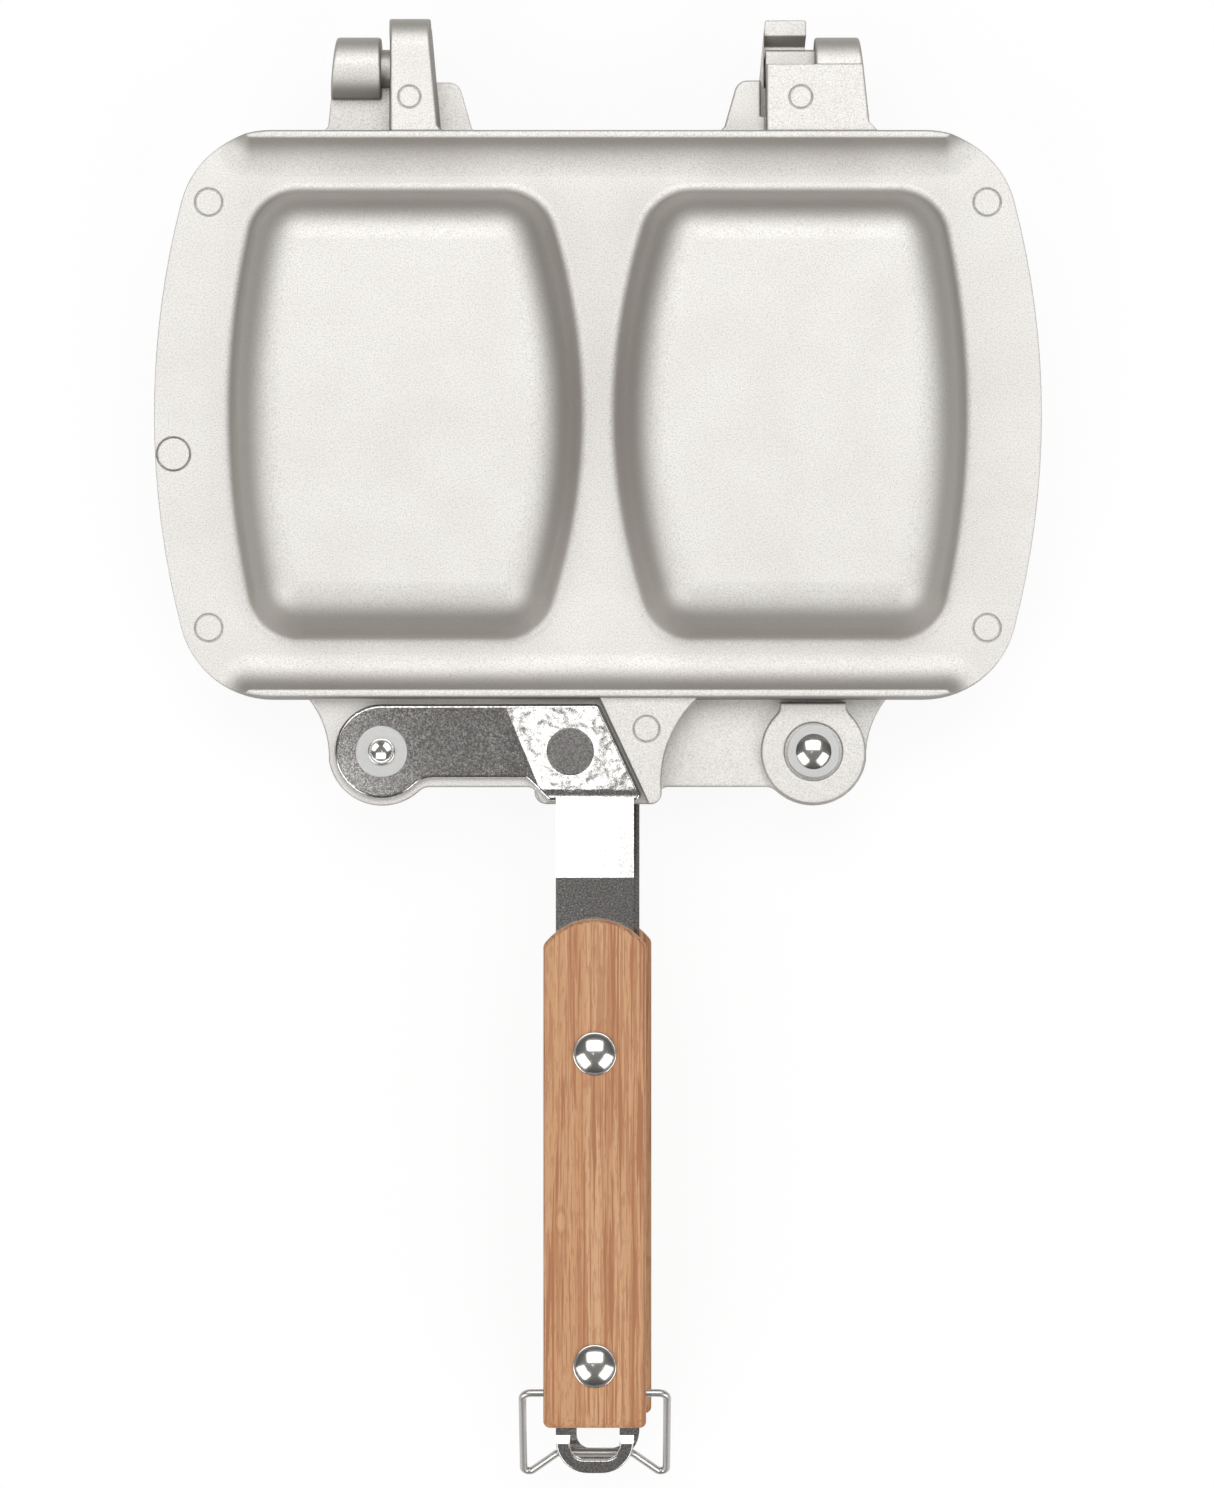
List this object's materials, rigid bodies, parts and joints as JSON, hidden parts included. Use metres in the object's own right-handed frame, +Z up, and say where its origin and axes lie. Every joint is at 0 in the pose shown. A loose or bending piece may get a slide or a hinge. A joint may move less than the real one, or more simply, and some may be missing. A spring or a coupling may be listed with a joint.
{
  "type": "sandwich iron",
  "caption": "Hinged cast-aluminium sandwich iron with twin bread pockets, sideways-folding strap handles, wooden grips and a wire lock bail.",
  "frame": {"origin": "centre of the bounding box in X and Y, at the height of the surface that the lower plate's pockets rest on", "axes": "+Y from the grips towards the plate hinge, +Z up through the closed plates, +X to the right seen from above with the hinge away from the viewer"},
  "size_m": [0.235, 0.3865, 0.04],
  "materials": {
    "cast_aluminium": "satin, bead-blasted casting",
    "polished_sheet": "polished stainless sheet",
    "bamboo": "oiled bamboo with lengthwise fibres",
    "polished_rivet": "polished",
    "plain_washer": "matt",
    "spring_steel": "plain",
    "dark_stud": "brushed",
    "bright_wire": "drawn wire, polished"
  },
  "bodies": {
    "lower_plate_body": {"lower_plate": "cast_aluminium", "lower_pivot_rivet": "polished_rivet", "lower_pivot_washer": "plain_washer", "lower_backing_washer": "plain_washer", "lower_pivot_spring": "spring_steel"},
    "upper_plate_body": {"upper_plate": "cast_aluminium", "upper_pivot_rivet": "polished_rivet", "upper_pivot_washer": "plain_washer", "upper_backing_washer": "plain_washer", "upper_pivot_spring": "spring_steel"},
    "upper_handle_body": {"upper_handle_strap": "polished_sheet", "upper_grip": "bamboo", "upper_grip_rivets": "polished_rivet", "upper_grip_washers": "plain_washer", "upper_detent_stud": "dark_stud"},
    "lower_handle_body": {"lower_handle_strap": "polished_sheet", "lower_grip": "bamboo", "lower_grip_rivets": "polished_rivet", "lower_grip_washers": "plain_washer", "lower_detent_stud": "dark_stud"},
    "bail_body": {"lock_bail": "bright_wire"}
  },
  "joints": [
    {"name": "plate_hinge", "type": "hinge", "parent": "lower_plate_body", "child": "upper_plate_body", "pos_m": [0, 0.1802, 0.02], "axis": [-1, 0, 0], "range_deg": [0, 100]},
    {"name": "upper_handle_fold", "type": "hinge", "parent": "upper_plate_body", "child": "upper_handle_body", "pos_m": [-0.057, -0.0007, 0.026], "axis": [0, 0, -1], "range_deg": [0, 180]},
    {"name": "lower_handle_fold", "type": "hinge", "parent": "lower_plate_body", "child": "lower_handle_body", "pos_m": [0.057, -0.0007, 0.014], "axis": [0, 0, 1], "range_deg": [0, 180]},
    {"name": "bail_swing", "type": "hinge", "parent": "upper_handle_body", "child": "bail_body", "pos_m": [-0.0008, -0.1687, 0.0335], "axis": [-1, 0, 0], "range_deg": [0, 205]}
  ]
}
